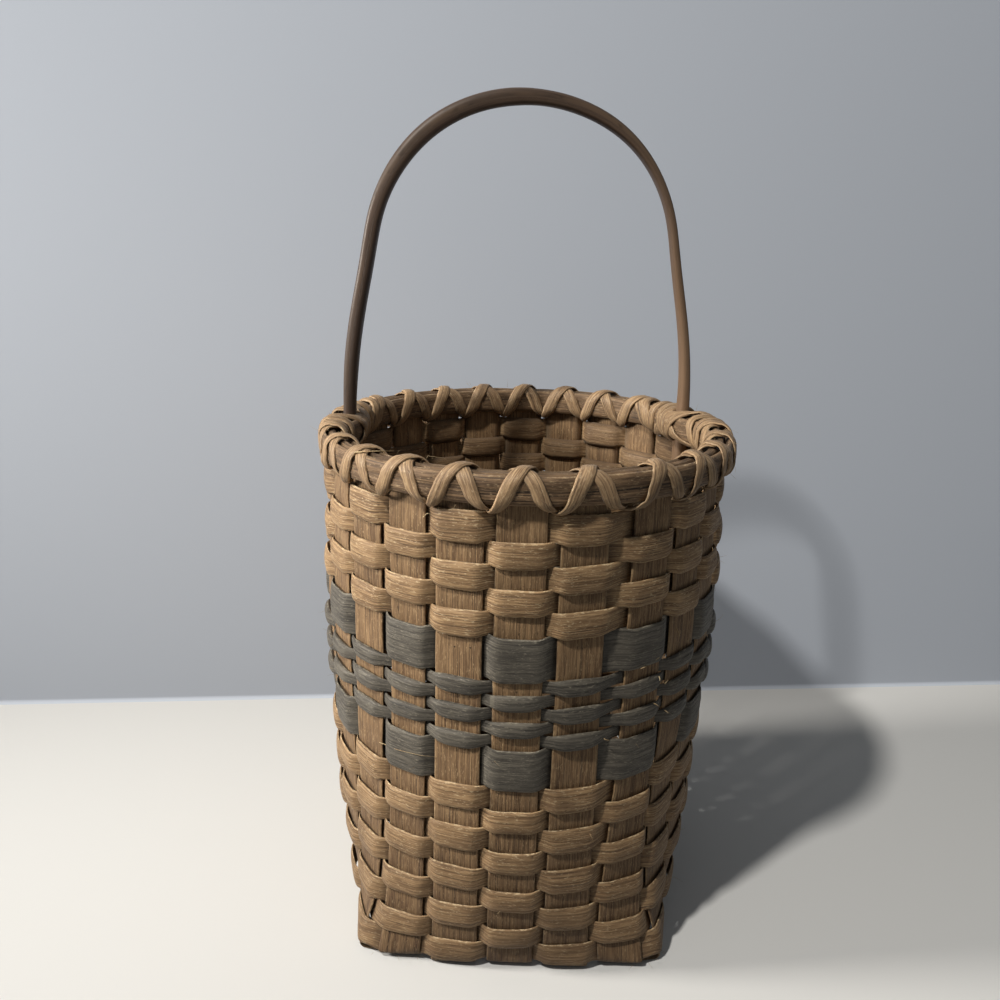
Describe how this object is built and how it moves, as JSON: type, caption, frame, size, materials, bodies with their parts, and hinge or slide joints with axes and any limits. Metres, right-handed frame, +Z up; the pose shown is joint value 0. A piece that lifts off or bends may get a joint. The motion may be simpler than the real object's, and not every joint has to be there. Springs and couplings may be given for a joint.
{
  "type": "pack basket",
  "caption": "Small tall woven splint basket with an oblong base, a round lashed rim, dark dyed bands and a fixed bow handle.",
  "frame": {"origin": "on the table, under the middle of the basket's overall box", "axes": "+Z up along the basket's height, X across the short side of the base and roughly along the bow handle's span, -Y towards the side shown in the picture"},
  "size_m": [0.1594, 0.1708, 0.3067],
  "materials": {
    "natural_splint": "dry matt reed splint",
    "stake_splint": "dry matt reed splint with a fine lengthwise grain",
    "dyed_splint": "matt slate-grey dyed reed splint",
    "lashing_splint": "dry matt reed lashing",
    "handle_wood": "smooth satin bent wood"
  },
  "bodies": {
    "root": {"stake_front_to_back_1": "stake_splint", "stake_front_to_back_2": "stake_splint", "stake_front_to_back_3": "stake_splint", "stake_front_to_back_4": "stake_splint", "stake_front_to_back_5": "stake_splint", "stake_side_to_side_1": "stake_splint", "stake_side_to_side_2": "stake_splint", "stake_side_to_side_3": "stake_splint", "stake_side_to_side_4": "stake_splint", "stake_side_to_side_5": "stake_splint", "stake_side_to_side_6": "stake_splint", "stake_side_to_side_7": "stake_splint", "weaver_01_lower": "natural_splint", "weaver_02_lower": "natural_splint", "weaver_03_lower": "natural_splint", "weaver_04_lower": "natural_splint", "weaver_05_lower": "natural_splint", "weaver_06_lower": "natural_splint", "weaver_07_lower": "natural_splint", "weaver_08_lower": "natural_splint", "weaver_09_lower": "natural_splint", "weaver_10_wide_dyed": "dyed_splint", "weaver_11_narrow_dyed": "dyed_splint", "weaver_12_narrow_dyed": "dyed_splint", "weaver_13_narrow_dyed": "dyed_splint", "weaver_14_narrow_dyed": "dyed_splint", "weaver_15_narrow_dyed": "dyed_splint", "weaver_16_wide_dyed": "dyed_splint", "weaver_17_upper": "natural_splint", "weaver_18_upper": "natural_splint", "weaver_19_upper": "natural_splint", "weaver_20_upper": "natural_splint", "weaver_21_upper": "natural_splint", "weaver_22_rim_row": "natural_splint", "rim_outer_hoop": "natural_splint", "rim_inner_hoop": "natural_splint", "rim_lasher_under": "lashing_splint", "rim_lasher_over": "lashing_splint", "bow_handle": "handle_wood"}
  },
  "joints": []
}
